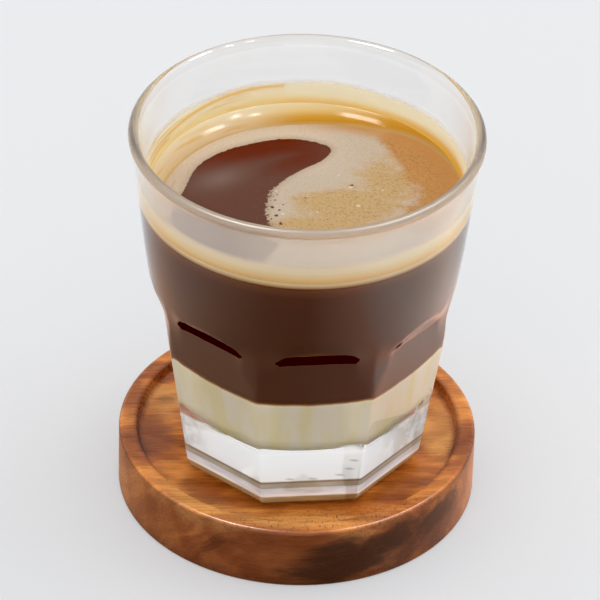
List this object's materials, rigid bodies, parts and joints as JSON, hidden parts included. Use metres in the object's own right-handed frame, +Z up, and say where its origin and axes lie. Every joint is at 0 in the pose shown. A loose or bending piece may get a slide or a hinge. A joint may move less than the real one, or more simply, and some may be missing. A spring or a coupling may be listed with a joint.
{
  "type": "layered coffee in a panelled tumbler on a wooden board",
  "caption": "Layered hot coffee over condensed milk in a clear pressed tumbler with flat panels, standing in the recess of a round wooden board.",
  "frame": {"origin": "centre of the board's underside", "axes": "+Z up, out of the glass's mouth; -Y towards the side that shows in the picture"},
  "size_m": [0.0848, 0.0848, 0.1007],
  "materials": {
    "wood": "oiled, with dark streaks",
    "clear_glass": "pressed, clear",
    "milk": "smooth liquid, opaque",
    "coffee": "smooth liquid, nearly opaque",
    "crema": "fine foam"
  },
  "bodies": {
    "root": {"board": "wood", "glass": "clear_glass", "milk": "milk", "coffee": "coffee", "crema": "crema"}
  },
  "joints": []
}
